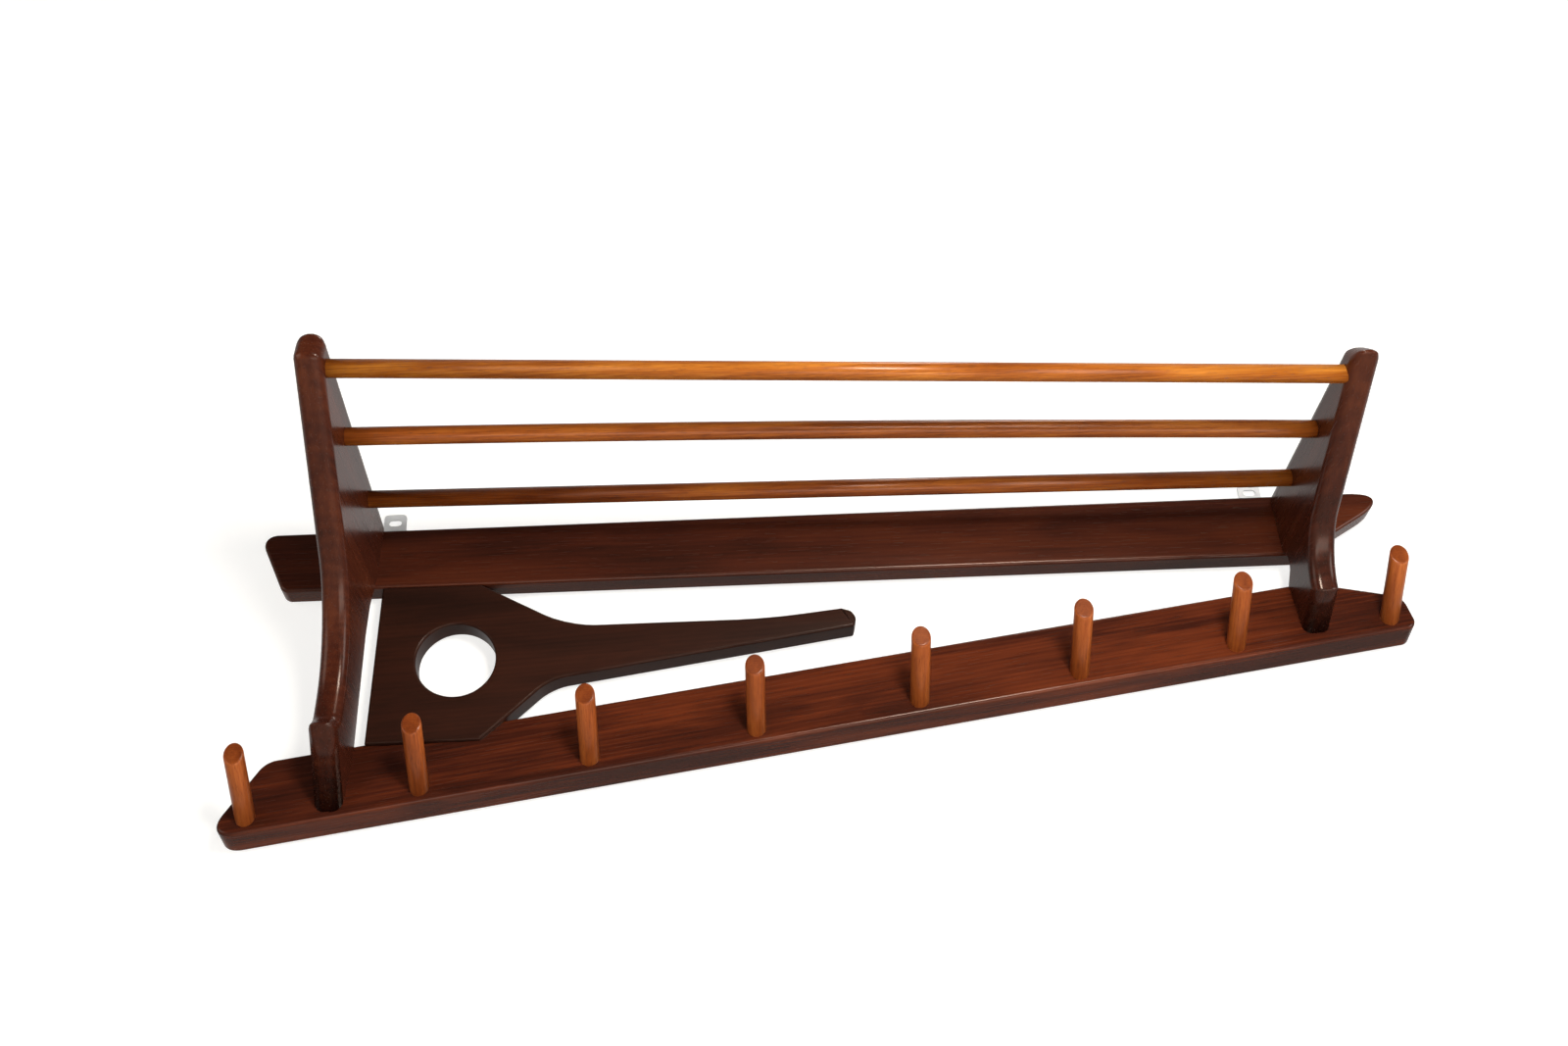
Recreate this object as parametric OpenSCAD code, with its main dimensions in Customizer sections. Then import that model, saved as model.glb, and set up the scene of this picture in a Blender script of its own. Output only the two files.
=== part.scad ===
// Wall-hung coat and hat rack: two boards, a linking plate, two arms, three rails and a row of pegs.
// X runs along the rack, +Z is up, the wall is the plane Y = 0 and the front faces -Y.
// The origin lies on the wall, midway between the two hanger slots.

/* [Hangers] */
// Distance between the two hanger slots
slot_pitch = 767; // [640:1:930]
// Length of a slot, end to end
slot_len = 11; // [8:0.5:14]
// Width of a slot
slot_w = 6; // [4:0.5:7]
// Width of a hanger plate
hanger_w = 20; // [16:1:26]
// Height of a hanger plate
hanger_h = 52; // [44:1:62]
// Thickness of the hanger steel, let flush into the board's back
hanger_t = 1.5; // [1:0.1:2.5]
// Slot centre below the hanger's top edge
slot_drop = 8.5; // [6:0.5:11]

/* [Upper board] */
// Thickness of the upper board and of the linking plate
board_t = 21; // [17:0.5:26]
// Height of the upper board at its middle
upper_h = 58.4; // [48:0.2:70]
// Slope of the top edge, rising to the right
upper_taper = 0.22; // [0:0.01:0.5]
// Top edge of the upper board below the slots
upper_drop = 16.6; // [14:0.2:20]
// Lower left corner beyond the left bracket's inner face
upper_left_over = 83.3; // [66:0.1:100]
// Lower right corner beyond the right bracket's inner face
upper_right_over = 15.9; // [10:0.1:40]
// Angle of the cut at the left end
upper_left_cut = 66.8; // [55:0.1:80]
// Angle of the cut at the right end
upper_right_cut = 30.3; // [25:0.1:40]

/* [Brackets] */
// Thickness of a bracket
bracket_t = 23; // [18:0.5:28]
// Left bracket's inner face, outside the left hanger's centre
left_inset = 5.2; // [4:0.1:8]
// Right bracket's inner face, outside the right hanger's centre
right_inset = 10.1; // [8:0.1:14]
// Outward lean of the left bracket towards its foot
left_lean = 3.56; // [0:0.01:5]
// Outward turn of the left bracket towards its tip
left_turn = 1.3; // [0:0.1:2]
// Outward lean of the right bracket towards its foot
right_lean = 1.17; // [0:0.01:3]
// Top of the left arm above the upper board's top edge
left_top = 9.4; // [6:0.1:12]
// Rise of the left arm's top edge towards its tip
left_rise = 6.76; // [4:0.02:8]
// Height of the left arm's tip
left_tip = 24; // [20:0.5:29]
// Knee of the left leg below the upper board's lower edge
left_knee = 62.2; // [52:0.1:72]
// Top of the right arm above the upper board's top edge
right_top = 2.6; // [1:0.1:4]
// Height of the right arm's tip
right_tip = 18.3; // [16:0.1:22]
// Knee of the right leg below the upper board's lower edge
right_knee = 22.1; // [14:0.1:30]
// Reach of the arms in front of the boards
reach = 243; // [200:1:292]
// How far the leg's waist stands in front of the boards
waist = 49; // [40:0.5:60]

/* [Rails] */
// Diameter of a rail
rail_d = 15; // [12:0.5:16]
// Depth of a rail's seat in each bracket
rail_seat = 12; // [8:0.5:15]
// Inner rail's centre in front of the boards
rail_inner_out = 56; // [46:0.5:66]
// Middle rail's centre in front of the boards, at the left bracket
rail_middle_left = 147.5; // [125:0.5:165]
// Middle rail's centre in front of the boards, at the right bracket
rail_middle_right = 132.5; // [115:0.5:160]
// Outer rail's centre behind the left arm's tip
rail_outer_left = 23; // [18:0.5:28]
// Outer rail's centre behind the right arm's tip
rail_outer_right = 31.5; // [26:0.5:36]
// Rails' centres below the arm's top edge
rail_drop = 18; // [16:0.5:20]
// How much lower the middle rail sits in the left bracket
rail_sink = 7; // [0:0.5:9]

/* [Peg board] */
// Slope of the peg board, rising to the right
row_angle = 8.2; // [6:0.1:9]
// Lean of the peg board's face, back towards its top edge
face_tilt = 10; // [6:0.5:12]
// Width of the face above the pegs' centres
face_above = 50.2; // [44:0.2:56]
// Width of the face below the pegs' centres
face_below = 13.6; // [11:0.2:18]
// First peg's centre below the upper board's lower edge
row_drop = 203.5; // [196:0.5:212]
// First peg's centre outside the left bracket's inner face
first_peg_out = 92.5; // [80:0.5:110]
// Last peg's centre outside the right bracket's inner face
last_peg_out = 79.3; // [60:0.1:95]
// Wall to the face at the first peg's centre
row_t = 23.9; // [21:0.1:28]
// Upper left corner beyond the first peg's centre
row_corner = 16; // [10:0.5:22]
// Angle of the cut at the left end
row_left_cut = 51.2; // [44:0.1:60]
// Right end beyond the last peg's centre
row_right_over = 21; // [17:0.5:28]
// Height of the right end above the pegs' centres
row_end_h = 19.5; // [15:0.5:26]
// Length of the slant from the top edge down to the right end
row_slant = 74; // [60:0.5:90]

/* [Pegs] */
// Number of pegs
peg_count = 8; // [8:1:8]
// Diameter of a peg
peg_d = 16; // [13:0.5:18]
// Peg length in front of the face, along its centre line
peg_len = 61; // [45:1:75]
// Upward slope of a peg
peg_rise = 33.6; // [25:0.1:38]
// Depth of a peg's socket
peg_socket = 14; // [12:0.5:19]

/* [Linking plate] */
// Diameter of the plate's hole
hole_d = 66.6; // [52:0.02:82]
// Gap between the plate's top left corner and the left bracket
plate_gap = 2.2; // [1:0.1:6]
// Wood left of the hole, at the plate's top corner
plate_left_top = 31.7; // [26:0.1:40]
// Wood left of the hole, at the plate's bottom corner
plate_left_low = 37.7; // [32:0.1:46]
// Wood above the hole
plate_above = 37.2; // [30:0.1:44]
// How deep the plate's bottom left corner is let into the peg board
plate_let_in = 2.8; // [1:0.1:5]
// Straight top edge of the plate, past the left side of the hole
shoulder = 52.3; // [44:0.1:60]
// Straight lower edge of the plate, past the left side of the hole
foot = 56.3; // [46:0.1:64]
// Neck's lower corner beyond the hole
neck_low = 46.3; // [38:0.1:56]
// Neck's upper corner beyond the hole
neck_high = 60.7; // [50:0.1:70]
// Tail beyond the hole
tail_len = 303.2; // [250:0.1:360]
// Slope of the tail's lower edge
tail_angle = 8.6; // [7:0.1:10]
// Tail's top edge below the top of the hole
tail_drop = 5.1; // [2:0.1:8]
// Height of the tail at its end
tail_h = 17.6; // [14:0.2:21]

/* [Fasteners] */
// Diameter of a dowel
dowel_d = 8; // [6:0.5:10]
// Depth of a dowel's hole in each piece
dowel_depth = 18; // [12:1:20]
// Shank diameter of a bracket screw
screw_d = 4; // [3:0.5:5]
// Length of a bracket screw
screw_len = 42; // [36:1:50]
// Shank diameter of a hanger screw
small_screw_d = 3; // [2.5:0.5:4]
// Length of a hanger screw
small_screw_len = 14; // [10:1:16]
// Upper hanger screw below the board's top edge
hanger_screw_drop = 9; // [6:0.5:11]
// Distance between a hanger's two screws
hanger_screw_pitch = 16; // [12:0.5:18]
// Upper bracket screw below the board's top edge
bracket_screw_drop = 14; // [12:0.5:18]
// Distance between a bracket's two upper screws
bracket_screw_pitch = 28; // [20:0.5:32]
// Lowest bracket screw below the peg board's top edge
foot_screw_drop = 26; // [22:0.5:34]
// Upper dowels' places along the rack, from the left side of the plate's hole
upper_dowel_at = [-8.7, 35.3];
// Lower dowels' places along the rack, from the left side of the plate's hole
lower_dowel_at = [-16.7, 31.3];
// Radial clearance of a seated rail, peg or dowel
seat_gap = 0.05; // [0.02:0.01:0.1]
// Clearance round a let-in plate
let_in_gap = 0.1; // [0.05:0.05:0.3]

/* [Hidden] */
$fn = 64;
cut = 0.8;       // how far a cutter stands past a face
far = 60;        // length of a cutter that leaves the object
arc_step = 6;    // largest turn between two points of an arc, in degrees

left_x = -slot_pitch / 2 - left_inset;
right_x = slot_pitch / 2 + right_inset;
front_y = -board_t;
upper_low = -upper_drop - upper_h;
hole_r = hole_d / 2;
hole_x = left_x + plate_gap + plate_left_top + hole_r;
hole_z = upper_low - plate_above - hole_r;
row_start = [left_x - first_peg_out, -row_t, upper_low - row_drop];
row_len = (right_x + last_peg_out - row_start.x) / cos(row_angle);
peg_pitch = row_len / (peg_count - 1);
left_foot_x = left_x - 14;      // where each foot stands on the peg board
right_foot_x = right_x + 2;

// Height of the upper board's top edge at a place along the rack
function upper_top(x) = -upper_drop + x * tan(upper_taper);
// Height of the peg board's top front edge at a place along the rack
function ridge_z(x) = row_start.z + (x - row_start.x) * tan(row_angle)
                    + face_above * cos(face_tilt) / cos(row_angle);
// Plate's lower edge, let into the peg board's top edge
plate_low_z = ridge_z(hole_x - hole_r - plate_left_low) - plate_let_in;
// How far the peg board's face lies behind the boards' front plane at its top edge
ridge_in = -row_t + face_above * sin(face_tilt) + board_t;

// Corner points [x, y, r] to an outline whose corners are arcs of radius r
function unit(v) = v / norm(v);
function corner(a, p, b) =
    let (u = unit([a.x - p.x, a.y - p.y]), v = unit([b.x - p.x, b.y - p.y]),
         half = acos(u * v) / 2, r = p.z, c = [p.x, p.y] + unit(u + v) * r / sin(half),
         s = [p.x, p.y] + u * r / tan(half) - c, e = [p.x, p.y] + v * r / tan(half) - c,
         start = atan2(s.y, s.x), turn = atan2(s.x * e.y - s.y * e.x, s * e),
         steps = max(2, ceil(abs(turn) / arc_step)))
    r == 0 ? [[p.x, p.y]]
           : [for (i = [0 : steps]) c + r * [cos(start + turn * i / steps), sin(start + turn * i / steps)]];
function outline(pts) =
    let (n = len(pts))
    [for (i = [0 : n - 1]) each corner(pts[(i + n - 1) % n], pts[i], pts[(i + 1) % n])];

// An outline drawn on the rack's front view, as a slab from the wall to a given thickness
module slab(pts, t) {
    rotate([90, 0, 0]) linear_extrude(t) polygon(outline(pts));
}

// ---- Upper board ----

module upper_slab() {
    left = left_x - upper_left_over;
    right = right_x + upper_right_over;
    left_run = (upper_top(left) - upper_low) / tan(upper_left_cut);
    right_run = (upper_top(right) - upper_low) / (tan(upper_right_cut) - tan(upper_taper));
    slab([[left, upper_low, 8],
          [left - left_run, upper_top(left - left_run), 10],
          [right + right_run, upper_top(right + right_run), 9.5],
          [right, upper_low, 20]], board_t);
}

module upper_board() {
    color("#4a1d14") difference() {
        upper_slab();
        hanger_recess(-1);
        hanger_recess(1);
        hanger_screw_holes();
        bracket_screws(-1, true);
        bracket_screws(1, true);
        upper_dowel_holes();
    }
}

// ---- Peg board ----

// Places children on the board's face at the first peg: x along it, z up it, y into the wood
module on_face() {
    translate(row_start) rotate([0, -row_angle, 0]) rotate([-face_tilt, 0, 0]) children();
}

// Everything behind the plane of the peg board's face
module behind_face() {
    on_face() translate([-2 * far, 0, -2 * far]) cube([row_len + 4 * far, far, 4 * far]);
}

module peg_slab() {
    left_foot = row_corner - (face_above + face_below) / tan(row_left_cut);
    right_end = row_len + row_right_over;
    intersection() {
        on_face() translate([0, far, 0]) slab([[row_corner, face_above, 20],
                                               [left_foot, -face_below, 11],
                                               [right_end, -face_below, 9],
                                               [right_end, row_end_h, 15],
                                               [right_end - row_slant, face_above, 40]], far);
        translate([row_start.x - 2 * far, -far, row_start.z - 2 * far]) cube([row_len + 5 * far, far, row_len]);
    }
}

module peg_board() {
    color("#5a2416") difference() {
        peg_slab();
        plate_outline_slab(let_in_gap, board_t + cut);
        for (i = [0 : peg_count - 1]) at_peg(i) translate([0, 0, -peg_socket])
            cylinder(d = peg_d + 2 * seat_gap, h = peg_socket + far);
        bracket_screws(-1, true);
        bracket_screws(1, true);
        lower_dowel_holes();
    }
}

// ---- Pegs ----

// Places children on the face at a peg's centre, with z along the peg
module at_peg(i) {
    translate(row_start + i * peg_pitch * [cos(row_angle), 0, sin(row_angle)])
        rotate([90 - peg_rise, 0, 0]) children();
}

// A turned peg, cut off parallel to the wall at its tip
module peg(i) {
    tip_y = row_start.y - peg_len * cos(peg_rise);
    tip_z = row_start.z + i * peg_pitch * sin(row_angle);
    color("#a4542c") difference() {
        at_peg(i) translate([0, 0, -peg_socket]) cylinder(d = peg_d, h = peg_socket + peg_len + peg_d);
        translate([row_start.x - far, tip_y - far, tip_z - far]) cube([row_len + 2 * far, far, 4 * far]);
    }
}

// ---- Linking plate ----

// Height of the tail's lower edge above the hole's centre
function tail_low(x) = x * tan(tail_angle) - hole_r;

// The plate's outline from the hole's centre, grown by a gap at its foot
function plate_points(gap) =
    let (low = plate_low_z - hole_z, top = hole_r + plate_above, tip = hole_r + tail_len,
         tail_top = hole_r - tail_drop)
    [[-hole_r - plate_left_top - gap, top, 0],
     [-hole_r - plate_left_low - gap, low - gap, 1],
     [foot - hole_r + gap, low - gap, 1],
     [hole_r + neck_low, tail_low(hole_r + neck_low) - gap, 50],
     [tip, tail_low(tip), 0],
     [tip + 3.9, tail_low(tip) + 13.5, 14],
     [tip - 10, tail_low(tip) + tail_h, 0],
     [tip - 73.5, tail_top, 700],
     [hole_r + neck_high, tail_top, 100],
     [shoulder - hole_r, top, 0]];

module plate_outline_slab(gap, t) {
    translate([hole_x, 0, hole_z]) translate([0, (t - board_t) / 2, 0]) slab(plate_points(gap), t);
}

module link_plate() {
    color("#331611") difference() {
        plate_outline_slab(0, board_t);
        translate([hole_x, cut, hole_z]) rotate([90, 0, 0]) cylinder(d = hole_d, h = board_t + 2 * cut, $fn = 96);
        upper_dowel_holes();
        lower_dowel_holes();
    }
}

// ---- Brackets ----

// Places children at a bracket: origin where its inner face meets the upper board's top front edge
module at_bracket(side) {
    x = side < 0 ? left_x : right_x;
    translate([x, front_y, upper_top(x)])
        rotate([0, side < 0 ? left_lean : -right_lean, 0]) rotate([0, 0, side < 0 ? -left_turn : 0]) children();
}

// The same place as a function of a point [out, up] on the bracket's inner face
function on_bracket(side, p) =
    let (x = side < 0 ? left_x : right_x, lean = side < 0 ? left_lean : -right_lean,
         turn = side < 0 ? -left_turn : 0, sx = p.x * sin(turn))
    [x + sx * cos(lean) + p.y * sin(lean), front_y - p.x * cos(turn),
     upper_top(x) - sx * sin(lean) + p.y * cos(lean)];

// Height of the left arm's top edge above the upper board, at a distance in front of the boards
function left_arm_z(out) = left_top + out * tan(left_rise);

// Side outline of the left bracket, [distance in front of the boards, height, radius] with the front at -x
function left_points() =
    let (ridge = ridge_z(left_foot_x) - upper_top(left_x), low = upper_low - upper_top(left_x),
         tip = left_arm_z(reach) - left_tip, knee = low - left_knee)
    [[cut, left_top, 9],
     [-reach + 3, left_arm_z(reach - 3), 5],
     [-reach, tip, 3],
     [-waist, knee, 1.58 * (knee - ridge - 1)],
     [-waist, ridge + 1, 10],
     [-waist - 11.5, ridge - 9, 1],
     [12, ridge - 77, 0],
     [12, ridge, 0],
     [ridge_in + cut, ridge, 0],
     [-6.5, ridge + 93, 60],
     [-6.5, low - 21, 15],
     [cut, low, 0]];

// Side outline of the right bracket
function right_points() =
    let (ridge = ridge_z(right_foot_x) - upper_top(right_x), low = upper_low - upper_top(right_x),
         tip = right_top - right_tip)
    [[cut, right_top, 4],
     [-reach + 21.5, right_top, 5],
     [-reach, tip, 3],
     [-waist - 4.8, low - right_knee, 60],
     [-waist + 0.7, ridge - 34, 1],
     [12, ridge - 58, 0],
     [12, ridge, 0],
     [ridge_in + cut, ridge, 0],
     [-7, ridge + 11, 8],
     [-7, low - 6, 5],
     [cut, low, 0]];

// A bracket's board, with its back scribed to the two boards that it stands on
module bracket_blank(side) {
    difference() {
        at_bracket(side) translate([side < 0 ? -bracket_t : 0, 0, 0]) rotate([90, 0, 90])
            linear_extrude(bracket_t) polygon(outline(side < 0 ? left_points() : right_points()));
        translate([left_x - 2 * far, front_y, upper_low]) cube([slot_pitch + 4 * far, far, 4 * far]);
        behind_face();
    }
}

module left_bracket() {
    color("#4a1a13") difference() {
        bracket_blank(-1);
        rail_bores();
        bracket_screws(-1, false);
    }
}

module right_bracket() {
    color("#4a1a13") difference() {
        bracket_blank(1);
        rail_bores();
        bracket_screws(1, false);
    }
}

// ---- Rails ----

// A rail's centre on each bracket's inner face: 0 is the outer rail, 2 the inner one
left_outs = [reach - rail_outer_left, rail_middle_left, rail_inner_out];
left_drops = [rail_drop, rail_drop + rail_sink, rail_drop];
right_outs = [reach - rail_outer_right, rail_middle_right, rail_inner_out];
function rail_left(i) = on_bracket(-1, [left_outs[i], left_arm_z(left_outs[i]) - left_drops[i]]);
function rail_right(i) = on_bracket(1, [right_outs[i], right_top - rail_drop]);

// Places a round bar of diameter d along rail i, from seat to seat
module rail_bar(i, d, more) {
    a = rail_left(i);
    span = rail_right(i) - a;
    along = norm(span);
    translate(a) rotate([0, acos(span.z / along), atan2(span.y, span.x)])
        translate([0, 0, -rail_seat - more]) cylinder(d = d, h = along + 2 * (rail_seat + more));
}

module rail_bores() {
    for (i = [0 : 2]) rail_bar(i, rail_d + 2 * seat_gap, 0);
}

module rail(i) {
    color("#b5612b") rail_bar(i, rail_d, 0);
}

// ---- Hanger plates ----

function hanger_x(side) = side * slot_pitch / 2;

module hanger_blank(side, gap) {
    x = hanger_x(side);
    w = hanger_w / 2 + gap;
    top = slot_drop + gap;
    low = slot_drop - hanger_h - gap;
    slab([[x - w, top, 4], [x + w, top, 4], [x + w, low, 4], [x - w, low, 4]], hanger_t + gap);
}

module hanger_recess(side) {
    translate([0, cut, 0]) hanger_blank(side, let_in_gap);
    hanger_blank(side, let_in_gap);
}

// Heights of the two screws in a hanger, in its part that lies on the board
function hanger_screw_z(side, i) = upper_top(hanger_x(side)) - hanger_screw_drop - hanger_screw_pitch * i;

module hanger(side) {
    x = hanger_x(side);
    flat = slot_len - slot_w;
    color("#c9c9c6") difference() {
        hanger_blank(side, 0);
        for (e = [-1, 1]) translate([x + e * flat / 2, cut, 0]) rotate([90, 0, 0])
            cylinder(d = slot_w, h = hanger_t + 2 * cut);
        translate([x - flat / 2, -hanger_t - cut, -slot_w / 2]) cube([flat, hanger_t + 2 * cut, slot_w]);
        for (i = [0, 1]) translate([x, cut, hanger_screw_z(side, i)]) rotate([90, 0, 0])
            cylinder(d = small_screw_d + 0.6, h = hanger_t + 2 * cut);
        for (i = [0, 1]) small_screw_head(side, i);
    }
}

module small_screw_head(side, i) {
    translate([hanger_x(side), 0, hanger_screw_z(side, i)]) rotate([90, 0, 0])
        cylinder(d1 = 2 * small_screw_d, d2 = small_screw_d, h = small_screw_d / 2);
}

// One small countersunk wood screw from the back
module small_screw(side, i) {
    difference() {
        union() {
            small_screw_head(side, i);
            translate([hanger_x(side), 0, hanger_screw_z(side, i)]) rotate([90, 0, 0])
                cylinder(d = small_screw_d, h = small_screw_len);
        }
        screw_slot(hanger_x(side), hanger_screw_z(side, i), 2 * small_screw_d);
    }
}

module screw_slot(x, z, w) {
    translate([x - w, -0.7, z - 0.4]) cube([2 * w, 0.7 + cut, 0.8]);
}

module hanger_screws(side) {
    color("#b8b8b0") for (i = [0, 1]) small_screw(side, i);
}

module hanger_screw_holes() {
    for (side = [-1, 1], i = [0, 1]) translate([hanger_x(side), cut, hanger_screw_z(side, i)])
        rotate([90, 0, 0]) cylinder(d = small_screw_d, h = small_screw_len + cut);
}

// ---- Bracket screws ----

// Height of each screw: two through the upper board, one through the peg board
function screw_z(side, i) =
    let (x = side < 0 ? left_foot_x : right_foot_x)
    i < 2 ? upper_top(x) - bracket_screw_drop - bracket_screw_pitch * i : ridge_z(x) - foot_screw_drop;

// A bracket's middle at a screw
function screw_x(side, i) =
    let (x = side < 0 ? left_x : right_x, lean = side < 0 ? left_lean : right_lean)
    x + side * (bracket_t / 2 + (upper_top(x) - screw_z(side, i)) * tan(lean));

// The three countersunk screws of a bracket, or the holes that they sit in
module bracket_screws(side, hole) {
    for (i = [0 : 2]) translate([screw_x(side, i), 0, screw_z(side, i)]) rotate([90, 0, 0]) {
        cylinder(d = screw_d, h = screw_len);
        cylinder(d1 = 2 * screw_d, d2 = screw_d, h = screw_d / 2);
        if (hole) translate([0, 0, -cut]) cylinder(d = 2 * screw_d, h = cut);
    }
}

module bracket_screw_set(side) {
    color("#c2a04e") difference() {
        bracket_screws(side, false);
        for (i = [0 : 2]) screw_slot(screw_x(side, i), screw_z(side, i), 2 * screw_d);
    }
}

// ---- Dowels ----

dowel_y = -board_t / 2;

module upper_dowel(i, gap) {
    translate([hole_x - hole_r + upper_dowel_at[i], dowel_y, upper_low - dowel_depth])
        cylinder(d = dowel_d + 2 * gap, h = 2 * dowel_depth);
}

module lower_dowel(i, gap) {
    translate([hole_x - hole_r + lower_dowel_at[i], dowel_y, plate_low_z - dowel_depth])
        cylinder(d = dowel_d + 2 * gap, h = 2 * dowel_depth);
}

module upper_dowel_holes() {
    for (i = [0, 1]) upper_dowel(i, seat_gap);
}

module lower_dowel_holes() {
    for (i = [0, 1]) lower_dowel(i, seat_gap);
}

module upper_dowels() {
    color("#c99a62") for (i = [0, 1]) upper_dowel(i, 0);
}

module lower_dowels() {
    color("#c99a62") for (i = [0, 1]) lower_dowel(i, 0);
}

upper_board();
peg_board();
link_plate();
left_bracket();
right_bracket();
rail(0);  // rail_outer
rail(1);  // rail_middle
rail(2);  // rail_inner
peg(0);  // peg_1
peg(1);  // peg_2
peg(2);  // peg_3
peg(3);  // peg_4
peg(4);  // peg_5
peg(5);  // peg_6
peg(6);  // peg_7
peg(7);  // peg_8
hanger(-1);  // left_hanger
hanger(1);  // right_hanger
hanger_screws(-1);  // left_hanger_screws
hanger_screws(1);  // right_hanger_screws
bracket_screw_set(-1);  // left_bracket_screws
bracket_screw_set(1);  // right_bracket_screws
upper_dowels();
lower_dowels();
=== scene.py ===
import math

import bmesh
import bpy
from mathutils import Euler, Matrix, Vector


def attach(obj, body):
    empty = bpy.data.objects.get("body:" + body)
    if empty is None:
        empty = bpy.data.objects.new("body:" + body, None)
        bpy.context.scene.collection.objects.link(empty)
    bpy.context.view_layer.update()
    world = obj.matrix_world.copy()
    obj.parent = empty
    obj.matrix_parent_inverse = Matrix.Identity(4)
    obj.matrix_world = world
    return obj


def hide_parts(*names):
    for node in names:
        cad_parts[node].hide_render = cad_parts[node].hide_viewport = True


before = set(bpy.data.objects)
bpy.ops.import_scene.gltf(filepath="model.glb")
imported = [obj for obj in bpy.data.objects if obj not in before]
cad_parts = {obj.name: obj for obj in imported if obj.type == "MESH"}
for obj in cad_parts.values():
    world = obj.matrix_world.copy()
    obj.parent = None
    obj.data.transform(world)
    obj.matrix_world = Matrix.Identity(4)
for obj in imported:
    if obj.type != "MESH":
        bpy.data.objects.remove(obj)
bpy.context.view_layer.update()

# ---- Camera ----
# It stands 1.3 m in front of the wall, well below the rack and a little left of its middle, and
# looks up at the rack's front.

camera_data = bpy.data.cameras.new("camera")
camera_data.sensor_width = 36
camera_data.lens = 39.75
camera_data.clip_end = 50
camera = bpy.data.objects.new("camera", camera_data)
camera.location = (-0.1005, -1.339, -0.7815)
camera.rotation_euler = Euler([math.radians(a) for a in (119.863, 2.918, -0.966)])
bpy.context.collection.objects.link(camera)
bpy.context.scene.camera = camera


# ---- Room and light ----
# A white painted wall behind the rack and a pale floor well below it. Soft lamps shine from the
# front, from above and from below, a window lights the right side and a weak lamp fills the left.

mm = 0.001
wall_gap = 4 * mm
floor_z = -1.6
room = 5.0


def make_mesh_object(name, bm):
    mesh = bpy.data.meshes.new(name)
    bm.to_mesh(mesh)
    bm.free()
    made = bpy.data.objects.new(name, mesh)
    bpy.context.collection.objects.link(made)
    return made


class Shade:
    """A shader socket that takes part in plain arithmetic, so that a finish reads as a sum."""

    def __init__(self, tree, socket):
        self.tree = tree
        self.socket = socket

    def join(self, operation, first, second):
        return put(self.tree, "ShaderNodeMath", {"operation": operation}, {0: first, 1: second})

    def __add__(self, other):
        return self.join("ADD", self, other)

    def __radd__(self, other):
        return self.join("ADD", other, self)

    def __sub__(self, other):
        return self.join("SUBTRACT", self, other)

    def __rsub__(self, other):
        return self.join("SUBTRACT", other, self)

    def __mul__(self, other):
        return self.join("MULTIPLY", self, other)

    def __rmul__(self, other):
        return self.join("MULTIPLY", other, self)


def put(tree, kind, settings, inputs, out=0):
    """Adds a node: its settings first, then the values or links of its sockets."""
    node = tree.nodes.new(kind)
    for key, value in settings.items():
        if key == "stops":
            ramp = node.color_ramp
            while len(ramp.elements) < len(value):
                ramp.elements.new(1.0)
            for stop, (place, colour) in zip(ramp.elements, value):
                stop.position = place
                stop.color = (*colour, 1)
        else:
            setattr(node, key, value)
    for key, value in inputs.items():
        if isinstance(value, Shade):
            tree.links.new(value.socket, node.inputs[key])
        else:
            node.inputs[key].default_value = value
    return Shade(tree, node.outputs[out]) if node.outputs else node


def new_material(name):
    material = bpy.data.materials.new(name)
    material.use_nodes = True
    material.node_tree.nodes.clear()
    return material, material.node_tree


def plane_mesh(name, corners):
    bm = bmesh.new()
    bm.faces.new([bm.verts.new(c) for c in corners])
    return make_mesh_object(name, bm)


wall = plane_mesh("wall", [(-room, wall_gap, floor_z), (room, wall_gap, floor_z),
                           (room, wall_gap, room), (-room, wall_gap, room)])
floor = plane_mesh("floor", [(-room, -room, floor_z), (room, -room, floor_z),
                             (room, room, floor_z), (-room, room, floor_z)])
wall.visible_diffuse = False
wall.visible_glossy = False
wall.visible_shadow = False

wall_paint, tree = new_material("wall_paint")
behind = put(tree, "ShaderNodeNewGeometry", {}, {}, "Backfacing")
matt = put(tree, "ShaderNodeBsdfDiffuse", {}, {"Color": (0.44, 0.435, 0.42, 1)})
glow = put(tree, "ShaderNodeEmission", {}, {"Color": (1, 0.995, 0.98, 1), "Strength": 0.72})
lit = put(tree, "ShaderNodeAddShader", {}, {0: matt, 1: glow})
clear = put(tree, "ShaderNodeBsdfTransparent", {}, {})
seen = put(tree, "ShaderNodeMixShader", {}, {0: behind, 1: lit, 2: clear})
put(tree, "ShaderNodeOutputMaterial", {}, {"Surface": seen})
wall.data.materials.append(wall_paint)

floor_paint, tree = new_material("floor_paint")
matt = put(tree, "ShaderNodeBsdfDiffuse", {}, {"Color": (0.80, 0.79, 0.77, 1)})
put(tree, "ShaderNodeOutputMaterial", {}, {"Surface": matt})
floor.data.materials.append(floor_paint)

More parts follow.
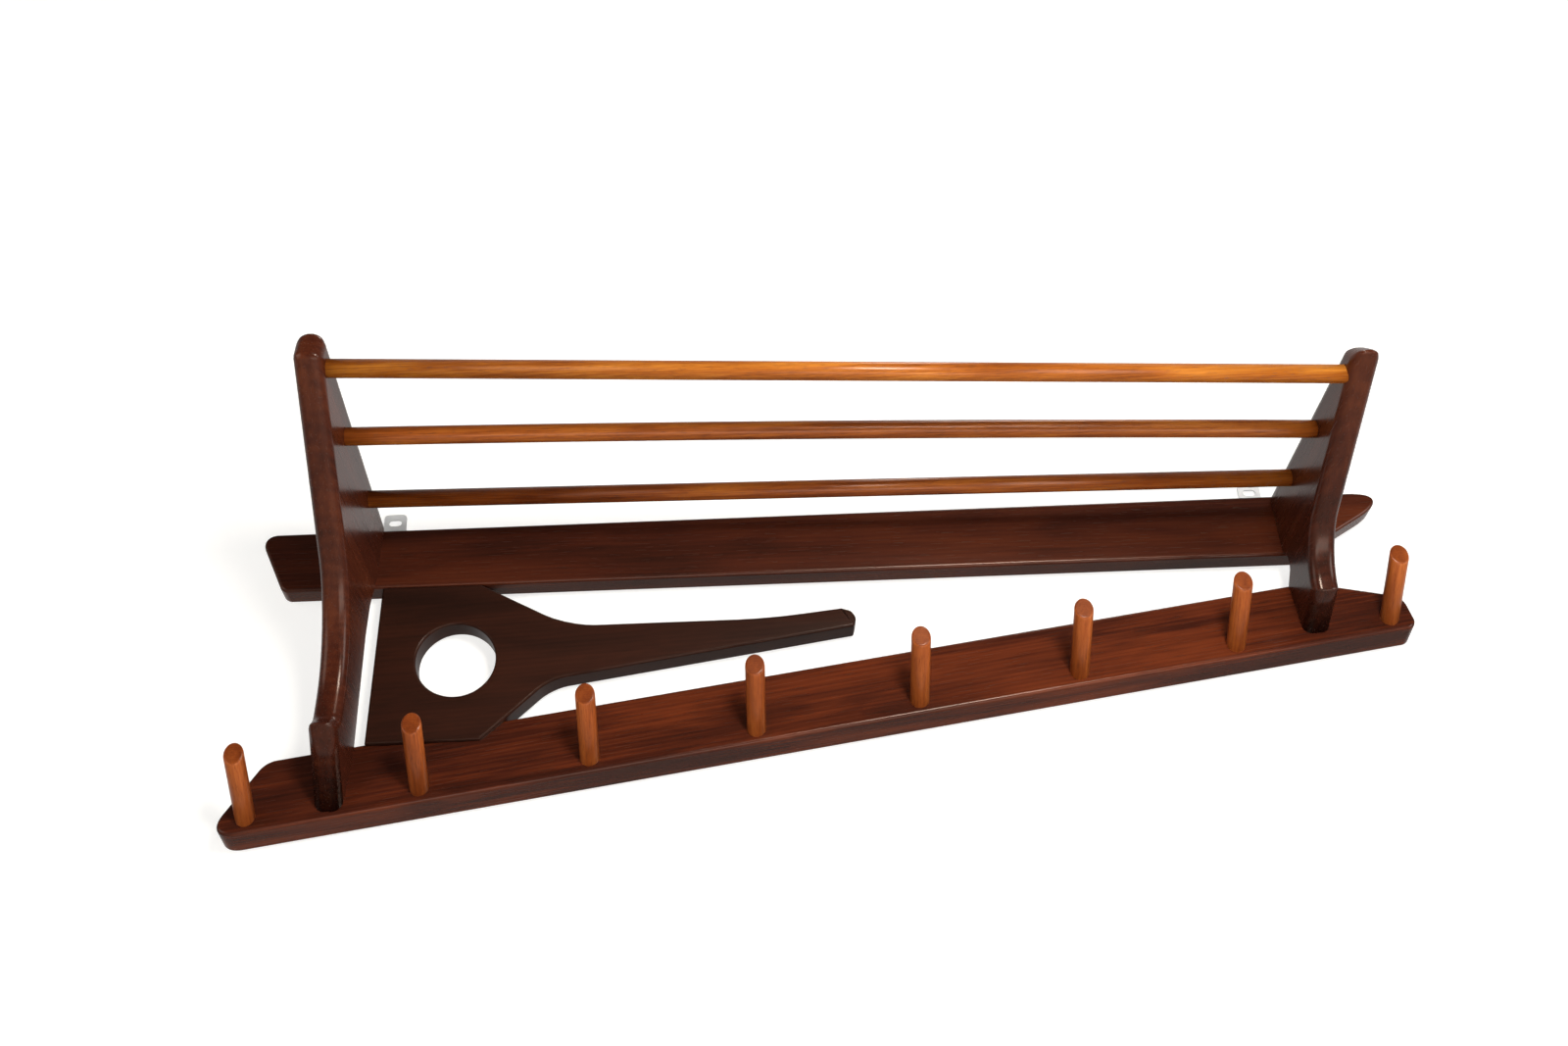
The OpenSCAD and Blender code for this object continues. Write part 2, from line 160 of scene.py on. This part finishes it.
world = bpy.data.worlds.new("room")
bpy.context.scene.world = world
world.use_nodes = True
tree = world.node_tree
tree.nodes.clear()
towards = put(tree, "ShaderNodeTexCoord", {}, {}, "Generated")
split = put(tree, "ShaderNodeSeparateXYZ", {}, {0: towards}, "Y")
dim = (0.10, 0.10, 0.11)
dusk = (0.16, 0.16, 0.17)
bright = (1.0, 0.98, 0.96)
glow_ramp = put(tree, "ShaderNodeValToRGB",
                {"stops": [(0.0, dim), (0.42, dusk), (0.66, bright), (1.0, bright)]},
                {0: split * 0.5 + 0.5})
camera_ray = put(tree, "ShaderNodeLightPath", {}, {}, "Is Camera Ray")
lamp_light = put(tree, "ShaderNodeBackground", {}, {"Color": glow_ramp, "Strength": 0.62})
plain = put(tree, "ShaderNodeBackground", {}, {"Color": (0.93, 0.93, 0.92, 1), "Strength": 1.0})
sky = put(tree, "ShaderNodeMixShader", {}, {0: camera_ray, 1: lamp_light, 2: plain})
put(tree, "ShaderNodeOutputWorld", {}, {"Surface": sky})


def soft_lamp(name, place, target, width, height, power, colour):
    data = bpy.data.lights.new(name, "AREA")
    data.shape = "RECTANGLE"
    data.size = width
    data.size_y = height
    data.energy = power
    data.color = colour
    lamp = bpy.data.objects.new(name, data)
    lamp.location = place
    lamp.rotation_euler = (Vector(target) - Vector(place)).to_track_quat("-Z", "Y").to_euler()
    bpy.context.collection.objects.link(lamp)


soft_lamp("near_lamp", place=(0.36, -1.55, 0.02), target=(0.05, 0, -0.1), width=0.34, height=0.38,
          power=22, colour=(1.0, 0.95, 0.88))
soft_lamp("ceiling_lamp", place=(0.6, -0.30, 2.1), target=(0.05, 0, -0.1), width=0.9, height=0.3,
          power=10, colour=(1.0, 0.97, 0.93))
soft_lamp("low_lamp", place=(0.3, -1.1, -1.5), target=(0, 0, -0.15), width=1.8, height=0.7,
          power=16, colour=(1.0, 0.96, 0.92))
soft_lamp("window", place=(2.4, -1.5, -0.6), target=(0, 0, -0.1), width=1.1, height=1.3,
          power=24, colour=(0.94, 0.97, 1.0))
soft_lamp("left_fill", place=(-1.9, -1.3, -0.2), target=(-0.2, 0, -0.1), width=1.3, height=1.1,
          power=10, colour=(1.0, 0.97, 0.93))
bpy.context.scene.view_settings.view_transform = "Standard"


# ---- Upper board ----
# A flat board of dark red-brown hardwood, planed, with its two ends sawn at different slants and
# its corners rounded. It is finished with satin lacquer and carries the hangers on its back.

slot_pitch = 767 * mm
board_t = 21 * mm
left_x = -slot_pitch / 2 - 5.2 * mm
right_x = slot_pitch / 2 + 10.1 * mm
upper_low = -75 * mm
upper_middle_top = -16.6 * mm
upper_taper = math.radians(0.22)
upper_left_cut = math.radians(66.8)
upper_right_cut = math.radians(30.3)
left_overhang = 83.3 * mm
right_overhang = 15.9 * mm
back_gap = 0.25 * mm
front_arris = 3 * mm
back_arris = 1 * mm
sharp_turn = math.radians(18)
degrees_a_step = 6
# A vertex bevel's arc passes its corner at offset * arc_share * sin(half of the turn)
arc_share = 0.5858


def upper_top(x):
    return upper_middle_top + x * math.tan(upper_taper)


def cut_outline(bm, corners):
    """A flat face in the XZ plane from corners (x, z, radius), each rounded by its radius."""
    ring = [bm.verts.new((c[0], 0, c[1])) for c in corners]
    bm.faces.new(ring)
    count = len(corners)
    for i, vert in enumerate(ring):
        before = Vector(corners[i - 1][:2]) - Vector(corners[i][:2])
        after = Vector(corners[(i + 1) % count][:2]) - Vector(corners[i][:2])
        half_turn = (math.pi - before.angle(after)) / 2
        radius = corners[i][2]
        if radius == 0:
            continue
        reach_back = radius * (1 / math.cos(half_turn) - 1) / (arc_share * math.sin(half_turn))
        steps = max(3, math.ceil(math.degrees(2 * half_turn) / degrees_a_step))
        bmesh.ops.bevel(bm, geom=[vert], offset=reach_back, offset_type="OFFSET", segments=steps,
                        profile=0.5, affect="VERTICES", clamp_overlap=False, material=-1)


def thicken(bm, step):
    """Pushes the flat outline out to a board along the vector step."""
    moved = bmesh.ops.extrude_face_region(bm, geom=bm.faces[:])
    verts = [v for v in moved["geom"] if isinstance(v, bmesh.types.BMVert)]
    bmesh.ops.translate(bm, vec=step, verts=verts)
    bmesh.ops.remove_doubles(bm, verts=bm.verts, dist=0.02 * mm)
    bmesh.ops.recalc_face_normals(bm, faces=bm.faces)


def ease_edges(bm, widest, arris_of):
    """Writes how far each edge is eased, as a share of the widest; arris_of(edge) gives the width."""
    layer = bm.edges.layers.float.new("bevel_weight_edge")
    for edge in bm.edges:
        turn = edge.calc_face_angle(0)
        if turn > sharp_turn:
            edge[layer] = min(1.0, arris_of(edge) / widest)


def finish_board(piece, widest, steps, *nodes):
    """Eased edges, even shading, and the piece's place in the rack."""
    for face in piece.data.polygons:
        face.use_smooth = True
    bevel = piece.modifiers.new("eased_edges", "BEVEL")
    bevel.limit_method = "WEIGHT"
    bevel.width = widest
    bevel.segments = steps
    bevel.use_clamp_overlap = False
    bevel.material = -1
    bevel.profile = 0.5
    weighted = piece.modifiers.new("flat_faces", "WEIGHTED_NORMAL")
    weighted.keep_sharp = True
    weighted.weight = 80
    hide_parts(*nodes)
    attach(piece, "root")


def lacquered_wood(name, turn, dark, mid, streak, ring_centre, streak_amount=1.0, roughness=0.25,
                   pore_depth=0.5, fineness=1.0, stretch=1.0, end_y=None, gloss=0.30):
    """Straight-grained wood under satin lacquer; turn brings the piece's grain onto the X axis."""
    material, tree = new_material(name)
    place = put(tree, "ShaderNodeTexCoord", {}, {}, "Object")
    lined = put(tree, "ShaderNodeMapping", {"vector_type": "TEXTURE"}, {"Vector": place, "Rotation": turn})
    far_grain = put(tree, "ShaderNodeMapping", {},
                    {"Vector": lined, "Location": ring_centre,
                     "Scale": (7 * fineness / stretch, 46 * fineness, 46 * fineness)})
    broad_grain = put(tree, "ShaderNodeMapping", {},
                      {"Vector": lined, "Location": ring_centre,
                       "Scale": (2.6 * fineness, 13 * fineness, 13 * fineness)})
    fibre_place = put(tree, "ShaderNodeMapping", {},
                      {"Vector": lined, "Scale": (9 * fineness, 380 * fineness, 380 * fineness)})
    pore_place = put(tree, "ShaderNodeMapping", {},
                     {"Vector": lined, "Scale": (45 * fineness, 900 * fineness, 900 * fineness)})
    figure = put(tree, "ShaderNodeTexNoise", {"normalize": True},
                 {"Vector": far_grain, "Scale": 1.0, "Detail": 7.0, "Roughness": 0.55, "Distortion": 0.7})
    patches = put(tree, "ShaderNodeTexNoise", {}, {"Vector": broad_grain, "Scale": 1.0, "Detail": 3.0,
                                                  "Roughness": 0.5, "Distortion": 0.5})
    rings = put(tree, "ShaderNodeTexWave",
                {"wave_type": "BANDS", "bands_direction": "Z", "wave_profile": "SIN"},
                {"Vector": far_grain, "Scale": 1.6, "Distortion": 5.0, "Detail": 4.0, "Detail Scale": 0.8,
                 "Detail Roughness": 0.55}, "Fac")
    fibre = put(tree, "ShaderNodeTexNoise", {}, {"Vector": fibre_place, "Scale": 1.0, "Detail": 4.0,
                                                "Roughness": 0.65})
    pores = put(tree, "ShaderNodeTexNoise", {}, {"Vector": pore_place, "Scale": 1.0, "Detail": 1.0})
    pore = put(tree, "ShaderNodeMapRange", {"clamp": True},
               {"Value": pores, "From Min": 0.60, "From Max": 0.70})
    body = rings * 0.04 + figure * 0.42 + patches * 0.48 + fibre * 0.28
    tone = put(tree, "ShaderNodeValToRGB", {"stops": [(0.46, dark), (0.61, mid), (0.78, streak)]},
               {0: body * streak_amount})
    worn = put(tree, "ShaderNodeMix", {"data_type": "RGBA", "blend_type": "MULTIPLY"},
               {0: pore * pore_depth, 6: tone, 7: (0.35, 0.30, 0.28, 1)}, 2)
    if end_y is not None:
        across = put(tree, "ShaderNodeSeparateXYZ", {}, {0: place}, "Y")
        sawn = put(tree, "ShaderNodeMapRange", {"clamp": True},
                   {"Value": across, "From Min": end_y + 0.5 * mm, "From Max": end_y + 0.1 * mm})
        worn = put(tree, "ShaderNodeMix", {"data_type": "RGBA", "blend_type": "MULTIPLY"},
                   {0: sawn, 6: worn, 7: (0.60, 0.52, 0.46, 1)}, 2)
    sheen = roughness + fibre * 0.05 - 0.025 + pore * 0.05
    relief = put(tree, "ShaderNodeBump", {}, {"Strength": 0.03, "Distance": 0.0006,
                                             "Height": fibre * 0.5 - pore * pore_depth * 0.6})
    surface = put(tree, "ShaderNodeBsdfPrincipled", {},
                  {"Base Color": worn, "Roughness": sheen, "Normal": relief, "Specular IOR Level": gloss,
                   "Specular Tint": (1.0, 0.80, 0.68, 1), "Coat Weight": 0.05, "Coat Roughness": 0.10,
                   "IOR": 1.48})
    put(tree, "ShaderNodeOutputMaterial", {}, {"Surface": surface})
    return material


left = left_x - left_overhang
right = right_x + right_overhang
left_run = (upper_top(left) - upper_low) / math.tan(upper_left_cut)
right_run = (upper_top(right) - upper_low) / (math.tan(upper_right_cut) - math.tan(upper_taper))
bm = bmesh.new()
cut_outline(bm, [(left, upper_low, 8 * mm), (left - left_run, upper_top(left - left_run), 10 * mm),
                 (right + right_run, upper_top(right + right_run), 9.5 * mm), (right, upper_low, 20 * mm)])
thicken(bm, (0, back_gap - board_t, 0))
bm.transform(Matrix.Translation((0, -back_gap, 0)))
ease_edges(bm, front_arris,
           lambda edge: front_arris if edge.verts[0].co.y < -board_t / 2 else back_arris)
upper_board = make_mesh_object("upper_board_shaped", bm)
upper_board.data.materials.append(lacquered_wood(
    "upper_board_wood", (0, -upper_taper, 0), (0.020, 0.0055, 0.0032), (0.046, 0.0100, 0.0045),
    (0.082, 0.018, 0.0065), (3.1, 0.4, 1.7)))
finish_board(upper_board, front_arris, 4, "upper_board")


# ---- Peg board ----
# A long board of the same wood that rises to the right. Its back lies on the wall and its face
# leans back towards the top, so that its top edge is thin, and it is bored for eight pegs.

row_angle = math.radians(8.2)
face_tilt = math.radians(10)
face_above = 50.2 * mm
face_below = 13.6 * mm
row_out = 23.9 * mm
first_peg_aside = 92.5 * mm
first_peg_drop = 203.5 * mm
last_peg_aside = 79.3 * mm
row_start = Vector((left_x - first_peg_aside, -row_out, upper_low - first_peg_drop))
row_len = (right_x + last_peg_aside - row_start.x) / math.cos(row_angle)
on_face = (Matrix.Translation(row_start) @ Matrix.Rotation(-row_angle, 4, "Y")
           @ Matrix.Rotation(-face_tilt, 4, "X"))
face_normal = (on_face.to_3x3() @ Vector((0, -1, 0))).normalized()


def ridge_z(x):
    """Height of the peg board's top front edge at a place along the rack."""
    rise = (x - row_start.x) * math.tan(row_angle)
    return row_start.z + rise + face_above * math.cos(face_tilt) / math.cos(row_angle)


def trim(bm, point, normal):
    """Cuts away what lies beyond the plane, and closes the cut."""
    cut = bmesh.ops.bisect_plane(bm, geom=bm.verts[:] + bm.edges[:] + bm.faces[:], dist=0.001 * mm,
                                 plane_co=point, plane_no=normal, clear_outer=True)
    rim = [e for e in cut["geom_cut"] if isinstance(e, bmesh.types.BMEdge)]
    bmesh.ops.edgenet_fill(bm, edges=rim)
    bmesh.ops.recalc_face_normals(bm, faces=bm.faces)


left_shoulder = 16 * mm
left_cut = math.radians(51.2)
left_foot = left_shoulder - (face_above + face_below) / math.tan(left_cut)
right_end = row_len + 21 * mm
right_corner_up = 19.5 * mm
right_slope_len = 74 * mm
past_the_wall = 60 * mm
widest = 4 * mm
peg_board_arris = 3.2 * mm
bm = bmesh.new()
cut_outline(bm, [(left_shoulder, face_above, 20 * mm), (left_foot, -face_below, 11 * mm),
                 (right_end, -face_below, 9 * mm), (right_end, right_corner_up, 15 * mm),
                 (right_end - right_slope_len, face_above, 40 * mm)])
thicken(bm, (0, past_the_wall, 0))
bm.transform(on_face)
trim(bm, (0, -back_gap, 0), (0, 1, 0))
ease_edges(bm, widest,
           lambda edge: peg_board_arris if min(v.co.y for v in edge.verts) < -2 * back_gap else back_arris)
peg_board = make_mesh_object("peg_board_shaped", bm)
peg_board.data.materials.append(lacquered_wood(
    "peg_board_wood", (0, -row_angle, 0), (0.018, 0.0050, 0.0029), (0.047, 0.0096, 0.0042),
    (0.125, 0.024, 0.0070), (0.3, 2.9, 0.8), streak_amount=1.08))
finish_board(peg_board, widest, 4, "peg_board")


# ---- Linking plate ----
# A darker flat plate between the boards, sawn to a waisted shape with a long tail to the right and
# bored with one large hole. Dowels join it to both boards.

hole_r = 33.3 * mm
beside_hole = 31.7 * mm
above_hole = 37.2 * mm
foot_beside_hole = 37.7 * mm
hole_x = left_x + 2.2 * mm + beside_hole + hole_r
hole_z = upper_low - above_hole - hole_r
plate_low = ridge_z(hole_x - hole_r - foot_beside_hole) - 2.8 * mm
neck = hole_r + 46.3 * mm
tail_start = hole_r + 60.7 * mm
tail_top = hole_r - 5.1 * mm
tail_rise = math.radians(8.6)
tip = hole_r + 303.2 * mm
plate_arris = 2.2 * mm
plate_back_arris = 0.8 * mm


def tail_low(x):
    return x * math.tan(tail_rise) - hole_r


bm = bmesh.new()
cut_outline(bm, [(-hole_r - beside_hole, hole_r + above_hole, 0),
                 (-hole_r - foot_beside_hole, plate_low - hole_z, 0),
                 (23 * mm, plate_low - hole_z, 4 * mm),
                 (neck, tail_low(neck), 50 * mm),
                 (tip, tail_low(tip), 0), (tip + 2.4 * mm, tail_low(tip) + 8 * mm, 7 * mm),
                 (tip - 1.5 * mm, tail_low(tip) + 14.6 * mm, 7 * mm),
                 (tip - 10 * mm, tail_low(tip) + 17.6 * mm, 0), (tip - 73.5 * mm, tail_top, 500 * mm),
                 (tail_start, tail_top, 100 * mm), (19 * mm, hole_r + above_hole, 0)])
outline_face = bm.faces[:]
bmesh.ops.delete(bm, geom=outline_face, context="FACES_ONLY")
bmesh.ops.create_circle(bm, cap_ends=False, radius=hole_r, segments=72,
                        matrix=Matrix.Rotation(math.pi / 2, 4, "X"))
bmesh.ops.triangle_fill(bm, use_beauty=True, use_dissolve=False, edges=bm.edges[:])
thicken(bm, (0, -board_t, 0))
bm.transform(Matrix.Translation((hole_x, 0, hole_z)))
ease_edges(bm, plate_arris,
           lambda edge: plate_arris if max(v.co.y for v in edge.verts) < -board_t / 2 else plate_back_arris)
plate = make_mesh_object("link_plate_shaped", bm)
plate.data.materials.append(lacquered_wood(
    "plate_wood_finish", (0, math.radians(-3), 0), (0.010, 0.0038, 0.0025), (0.021, 0.0066, 0.0038),
    (0.036, 0.0102, 0.0052), (0.9, 1.4, 2.6), streak_amount=0.95, roughness=0.36, pore_depth=0.3,
    gloss=0.14))
finish_board(plate, plate_arris, 3, "link_plate")


# ---- Brackets ----
# Two arms sawn from thick board that stand out from the wall and drop in a leg to the peg board.
# Their edges are rounded by hand, and screws from the back hold them to both boards.

bracket_t = 23 * mm
reach = 243 * mm
waist = 49 * mm
left_top = 9.4 * mm
right_top = 2.6 * mm
left_rise = math.radians(6.76)
ridge_in = -row_out + face_above * math.sin(face_tilt) + board_t
foot_in = ridge_in + 0.8 * mm
behind_front = 12 * mm


def left_arm_z(out):
    return left_top + out * math.tan(left_rise)


def bracket_place(side):
    """The bracket's own frame: its inner face at x = 0, the boards' front plane at y = 0."""
    x = left_x if side < 0 else right_x
    lean = math.radians(3.56 if side < 0 else -1.17)
    turn = math.radians(-1.3 if side < 0 else 0)
    return (Matrix.Translation((x, -board_t, upper_top(x))) @ Matrix.Rotation(lean, 4, "Y")
            @ Matrix.Rotation(turn, 4, "Z"))


def shape_bracket(name, side, corners, top_round, steps):
    """A board from side corners (y, z, radius, arris of the edge that follows, arris of the corner)."""
    bm = bmesh.new()
    cut_outline(bm, corners)
    bm.transform(Matrix.Rotation(math.pi / 2, 4, "Z"))
    thicken(bm, (-bracket_t if side < 0 else bracket_t, 0, 0))
    spans = [(Vector(a[:2]), Vector(b[:2]), a[3]) for a, b in zip(corners, corners[1:] + corners[:1])]

    def arris(edge):
        middle = (edge.verts[0].co + edge.verts[1].co) / 2
        spot = Vector((middle.y, middle.z))
        along = abs((edge.verts[0].co - edge.verts[1].co).x) < mm
        if along:
            return min(spans, key=lambda s: (spot - closest_on(spot, s[0], s[1])).length)[2]
        return min(corners, key=lambda c: (spot - Vector(c[:2])).length)[4]

    ease_edges(bm, top_round, arris)
    bm.transform(bracket_place(side))
    trim(bm, row_start, -face_normal)
    bracket = make_mesh_object(name, bm)
    finish_board(bracket, top_round, steps, "left_bracket" if side < 0 else "right_bracket")
    return bracket


def closest_on(spot, a, b):
    share = max(0, min(1, (spot - a).dot(b - a) / (b - a).length_squared))
    return a + share * (b - a)


low = upper_low - upper_top(left_x)
ridge = ridge_z(left_x - 14 * mm) - upper_top(left_x)
tip_z = left_arm_z(reach) - 24 * mm
knee = low - 62.2 * mm
heel = ridge + 1 * mm
soft = 8 * mm
crisp = 1.4 * mm
top_round = 10 * mm
left_bracket = shape_bracket("left_bracket_shaped", -1, [
    (0, left_top, 0, top_round, 0),
    (-reach + 3 * mm, left_arm_z(reach - 3 * mm), 0, 9 * mm, 4.5 * mm),
    (-reach, tip_z, 0, soft, 4 * mm),
    (-waist, knee, 1.58 * (knee - heel), soft, 0),
    (-waist, heel, 10 * mm, soft, 0),
    (-waist - 11.5 * mm, ridge - 9 * mm, 0, soft, crisp),
    (behind_front, ridge - 77 * mm, 0, 0, 0),
    (behind_front, ridge, 0, 0, 0),
    (foot_in, ridge, 0, 3 * mm, 0),
    (-6.5 * mm, ridge + 93 * mm, 60 * mm, 3 * mm, 0),
    (-6.5 * mm, low - 21 * mm, 15 * mm, 3 * mm, 0),
    (0, low, 0, 0, 0)], top_round, 8)

low = upper_low - upper_top(right_x)
ridge = ridge_z(right_x + 2 * mm) - upper_top(right_x)
right_bracket = shape_bracket("right_bracket_shaped", 1, [
    (0, right_top, 0, top_round, 0),
    (-reach + 21.5 * mm, right_top, 0, 9.5 * mm, 5 * mm),
    (-reach, right_top - 18.3 * mm, 0, soft, 4 * mm),
    (-waist - 4.8 * mm, low - 22.1 * mm, 60 * mm, soft, 0),
    (-waist + 0.7 * mm, ridge - 34 * mm, 0, soft, crisp),
    (behind_front, ridge - 58 * mm, 0, 0, 0),
    (behind_front, ridge, 0, 0, 0),
    (foot_in, ridge, 0, 2 * mm, 0),
    (-7 * mm, ridge + 11 * mm, 8 * mm, 2 * mm, 0),
    (-7 * mm, low - 6 * mm, 5 * mm, 2 * mm, 0),
    (0, low, 0, 0, 0)], top_round, 8)
for bracket in (left_bracket, right_bracket):
    bracket.data.materials.append(lacquered_wood(
        bracket.name + "_wood", (0, 0, math.radians(90)), (0.020, 0.0052, 0.0030), (0.050, 0.0105, 0.0046),
        (0.094, 0.022, 0.0080), (1.2, 0.7, 2.2), pore_depth=0.25, fineness=0.6))


# ---- Rails ----
# Three turned rods of lighter, golden brown wood glued into blind seats in both arms. The middle
# one has bowed slightly upwards with age.

rail_d = 15 * mm
rail_seat = 12 * mm
left_outs = [reach - 23 * mm, 147.5 * mm, 56 * mm]
left_drops = [18 * mm, 25 * mm, 18 * mm]
right_outs = [reach - 31.5 * mm, 132.5 * mm, 56 * mm]
right_drop = 18 * mm
middle_bow = 3 * mm
# Painted shade: the middle and inner rails get darker copies of the outer rail's wood colours, standing in
# for the lamp light that falls off further from the front
rail_tones_with_painted_shade = [((0.160, 0.034, 0.005), (0.37, 0.102, 0.013), (0.62, 0.225, 0.030)),
              ((0.110, 0.023, 0.004), (0.27, 0.066, 0.010), (0.46, 0.145, 0.021)),
              ((0.088, 0.018, 0.004), (0.22, 0.051, 0.009), (0.38, 0.112, 0.017))]


def turned_rod(name, start, end, diameter, bow):
    bm = bmesh.new()
    span = end - start
    turn = span.to_track_quat("Z", "Y").to_matrix().to_4x4()
    bmesh.ops.create_cone(bm, cap_ends=True, segments=40, radius1=diameter / 2, radius2=diameter / 2,
                          depth=span.length, matrix=Matrix.Translation((start + end) / 2) @ turn)
    sides = [e for e in bm.edges if abs((e.verts[0].co - e.verts[1].co).length - span.length) < mm]
    if bow:
        bmesh.ops.subdivide_edges(bm, edges=sides, cuts=15)
        for vert in bm.verts:
            share = (vert.co - start).dot(span) / span.length_squared
            vert.co.z += bow * 4 * share * (1 - share)
    rod = make_mesh_object(name, bm)
    for face in rod.data.polygons:
        face.use_smooth = len(face.vertices) == 4
    return rod


for i, rail_name in enumerate(["rail_outer", "rail_middle", "rail_inner"]):
    a = bracket_place(-1) @ Vector((0, -left_outs[i], left_arm_z(left_outs[i]) - left_drops[i]))
    b = bracket_place(1) @ Vector((0, -right_outs[i], right_top - right_drop))
    seat = (b - a).normalized() * rail_seat
    rail = turned_rod(rail_name + "_turned", a - seat, b + seat, rail_d, middle_bow if i == 1 else 0)
    rail.data.materials.append(lacquered_wood(
        rail_name + "_wood", (0, 0, 0), *rail_tones_with_painted_shade[i], (0.4 + i, 3.3, 1.1), pore_depth=0.8,
        fineness=3.0, stretch=3.2))
    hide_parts(rail_name)
    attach(rail, "root")


# ---- Pegs ----
# Eight short rods of orange-brown wood, glued into slanting holes in the peg board. Their tips are
# sawn off parallel to the wall and the rims are sanded round.

peg_d = 16 * mm
peg_len = 61 * mm
peg_rise = math.radians(33.6)
peg_socket = 14 * mm
peg_pitch = row_len / 7
peg_axis = Vector((0, -math.cos(peg_rise), math.sin(peg_rise)))
along_row = Vector((math.cos(row_angle), 0, math.sin(row_angle)))
peg_turn = peg_axis.to_track_quat("Z", "Y").to_matrix().to_4x4()
tip_round = 1.6 * mm
peg_wood = lacquered_wood(
    "peg_wood_finish", (0, peg_rise, math.radians(90)), (0.130, 0.026, 0.006), (0.30, 0.068, 0.013),
    (0.46, 0.125, 0.026), (2.4, 0.2, 0.6), roughness=0.30, pore_depth=0.7, fineness=2.6, stretch=1.6,
    end_y=row_start.y - peg_len * math.cos(peg_rise))
for i in range(8):
    base = row_start + i * peg_pitch * along_row
    bm = bmesh.new()
    start = base - peg_socket * peg_axis
    end = base + (peg_len + peg_d) * peg_axis
    bmesh.ops.create_cone(bm, cap_ends=True, segments=40, radius1=peg_d / 2, radius2=peg_d / 2,
                          depth=(end - start).length,
                          matrix=Matrix.Translation((start + end) / 2) @ peg_turn)
    tip_point = base + peg_len * peg_axis
    trim(bm, tip_point, (0, -1, 0))
    rim = [e for e in bm.edges if all(abs(v.co.y - tip_point.y) < 0.01 * mm for v in e.verts)]
    bmesh.ops.bevel(bm, geom=rim, offset=tip_round, offset_type="OFFSET", segments=4, profile=0.5,
                    affect="EDGES", clamp_overlap=True, material=-1)
    peg = make_mesh_object("peg_%d_turned" % (i + 1), bm)
    for face in peg.data.polygons:
        face.use_smooth = len(face.vertices) < 20
    peg.data.materials.append(peg_wood)
    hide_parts("peg_%d" % (i + 1))
    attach(peg, "root")


# ---- Hangers, screws and dowels ----
# Two zinc-plated steel plates with a slot, let flush into the back of the upper board and held by
# small screws. Brass screws hold the brackets, and dowels of pale wood join the plate.


def plain_metal(name, colour, roughness, scratch_turn, metallic=1.0):
    material, tree = new_material(name)
    place = put(tree, "ShaderNodeTexCoord", {}, {}, "Object")
    rolled = put(tree, "ShaderNodeMapping", {},
                 {"Vector": place, "Rotation": scratch_turn, "Scale": (60, 900, 900)})
    cloudy = put(tree, "ShaderNodeTexNoise", {}, {"Vector": place, "Scale": 180.0, "Detail": 4.0})
    scratch = put(tree, "ShaderNodeTexNoise", {}, {"Vector": rolled, "Scale": 1.0, "Detail": 3.0})
    tone = put(tree, "ShaderNodeMix", {"data_type": "RGBA"},
               {0: cloudy * 0.7, 6: (*colour, 1), 7: (*[c * 0.72 for c in colour], 1)}, 2)
    relief = put(tree, "ShaderNodeBump", {}, {"Strength": 0.08, "Distance": 0.0003, "Height": scratch})
    surface = put(tree, "ShaderNodeBsdfPrincipled", {},
                  {"Base Color": tone, "Metallic": metallic, "Roughness": roughness + scratch * 0.18,
                   "Normal": relief})
    put(tree, "ShaderNodeOutputMaterial", {}, {"Surface": surface})
    return material


def dress(material, *nodes):
    for node in nodes:
        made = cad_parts[node]
        for slot in made.material_slots:
            slot.material = material


zinc_plate = plain_metal("zinc_plate", (0.80, 0.82, 0.83), 0.42, (0, 0, 0), 0.45)
zinc_screw = plain_metal("zinc_screw", (0.68, 0.68, 0.66), 0.28, (0, 0, 0.6))
brass_screw = plain_metal("brass_screw", (0.78, 0.58, 0.26), 0.26, (0, 0, 0.6))
beech = lacquered_wood(
    "dowel_beech", (0, math.radians(90), 0), (0.42, 0.25, 0.13), (0.56, 0.37, 0.21), (0.66, 0.47, 0.28),
    (0, 0, 0), roughness=0.6, pore_depth=0.4, fineness=2.0)
dress(zinc_plate, "left_hanger", "right_hanger")
dress(zinc_screw, "left_hanger_screws", "right_hanger_screws")
dress(brass_screw, "left_bracket_screws", "right_bracket_screws")
dress(beech, "upper_dowels", "lower_dowels")
